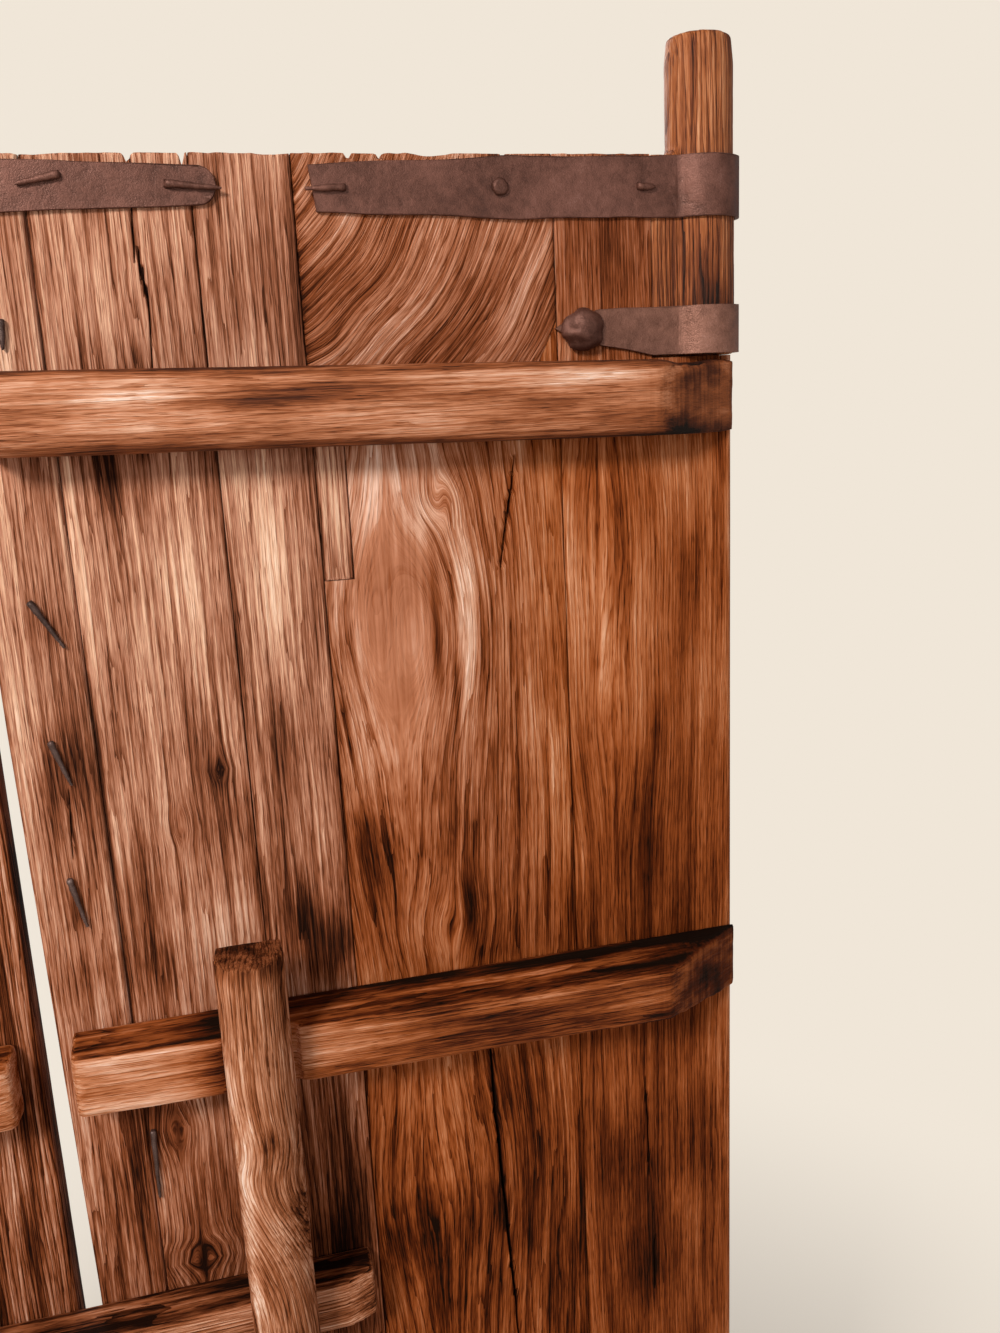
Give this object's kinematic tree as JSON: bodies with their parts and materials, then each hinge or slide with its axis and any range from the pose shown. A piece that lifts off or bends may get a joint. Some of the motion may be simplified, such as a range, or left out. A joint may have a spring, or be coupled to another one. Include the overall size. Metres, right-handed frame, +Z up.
{
  "type": "pivot-hung wooden door pair",
  "caption": "Pair of flat-topped plank door leaves on round wooden pivots, with battens, iron straps and a sliding wooden bolt that runs behind two upright keepers.",
  "frame": {"origin": "left leaf's pivot axis, at the foot of the boards", "axes": "+Z up along the pivots, +X across the pair towards the right leaf, -Y towards the inner face with the bolt"},
  "size_m": [1.2218, 0.1339, 2.008],
  "materials": {
    "board_wood": "old elm, waxed, raised grain",
    "rail_wood": "old elm, waxed and handled",
    "bolt_wood": "old elm, worn by hands",
    "pivot_wood": "newer stained wood, shaved round",
    "dowel_wood": "split wood, hidden",
    "wrought_iron": "wrought iron, brown patina"
  },
  "bodies": {
    "left_leaf": {"left_board_dowels": "dowel_wood", "left_boss_nails": "wrought_iron", "left_bottom_meeting_strap": "wrought_iron", "left_bottom_pivot_strap": "wrought_iron", "left_bottom_post": "pivot_wood", "left_bottom_post_strap": "wrought_iron", "left_bottom_rail": "rail_wood", "left_broad_board": "board_wood", "left_edge_nails": "wrought_iron", "left_keeper": "bolt_wood", "left_keeper_pegs": "bolt_wood", "left_lower_batten": "rail_wood", "left_meeting_board": "board_wood", "left_narrow_board": "board_wood", "left_pivot_stile": "board_wood", "left_strap_nails": "wrought_iron", "left_top_meeting_strap": "wrought_iron", "left_top_pivot_strap": "wrought_iron", "left_top_post": "pivot_wood", "left_top_post_strap": "wrought_iron", "left_upper_batten": "rail_wood", "left_upper_rail": "rail_wood", "left_wide_board": "board_wood"},
    "right_leaf": {"right_board_dowels": "dowel_wood", "right_boss_nails": "wrought_iron", "right_bottom_meeting_strap": "wrought_iron", "right_bottom_pivot_strap": "wrought_iron", "right_bottom_post": "pivot_wood", "right_bottom_post_strap": "wrought_iron", "right_bottom_rail": "rail_wood", "right_broad_board": "board_wood", "right_edge_nails": "wrought_iron", "right_inlay_strip": "board_wood", "right_keeper": "bolt_wood", "right_keeper_pegs": "bolt_wood", "right_lower_batten": "rail_wood", "right_meeting_board": "board_wood", "right_narrow_board": "board_wood", "right_pivot_stile": "board_wood", "right_repair_panel": "board_wood", "right_strap_nails": "wrought_iron", "right_top_meeting_strap": "wrought_iron", "right_top_pivot_strap": "wrought_iron", "right_top_post": "pivot_wood", "right_top_post_strap": "wrought_iron", "right_upper_batten": "rail_wood", "right_upper_rail": "rail_wood", "right_wide_board": "board_wood"},
    "bolt": {"sliding_bolt": "bolt_wood"}
  },
  "joints": [
    {"name": "right_leaf_swing", "type": "hinge", "parent": "left_leaf", "child": "right_leaf", "pos_m": [1.158, 0, 0], "axis": [0, 0, 1], "range_deg": [0, 100]},
    {"name": "bolt_slide", "type": "slide", "parent": "right_leaf", "child": "bolt", "axis": [1, 0, 0], "range_m": [0, 0.16]}
  ]
}
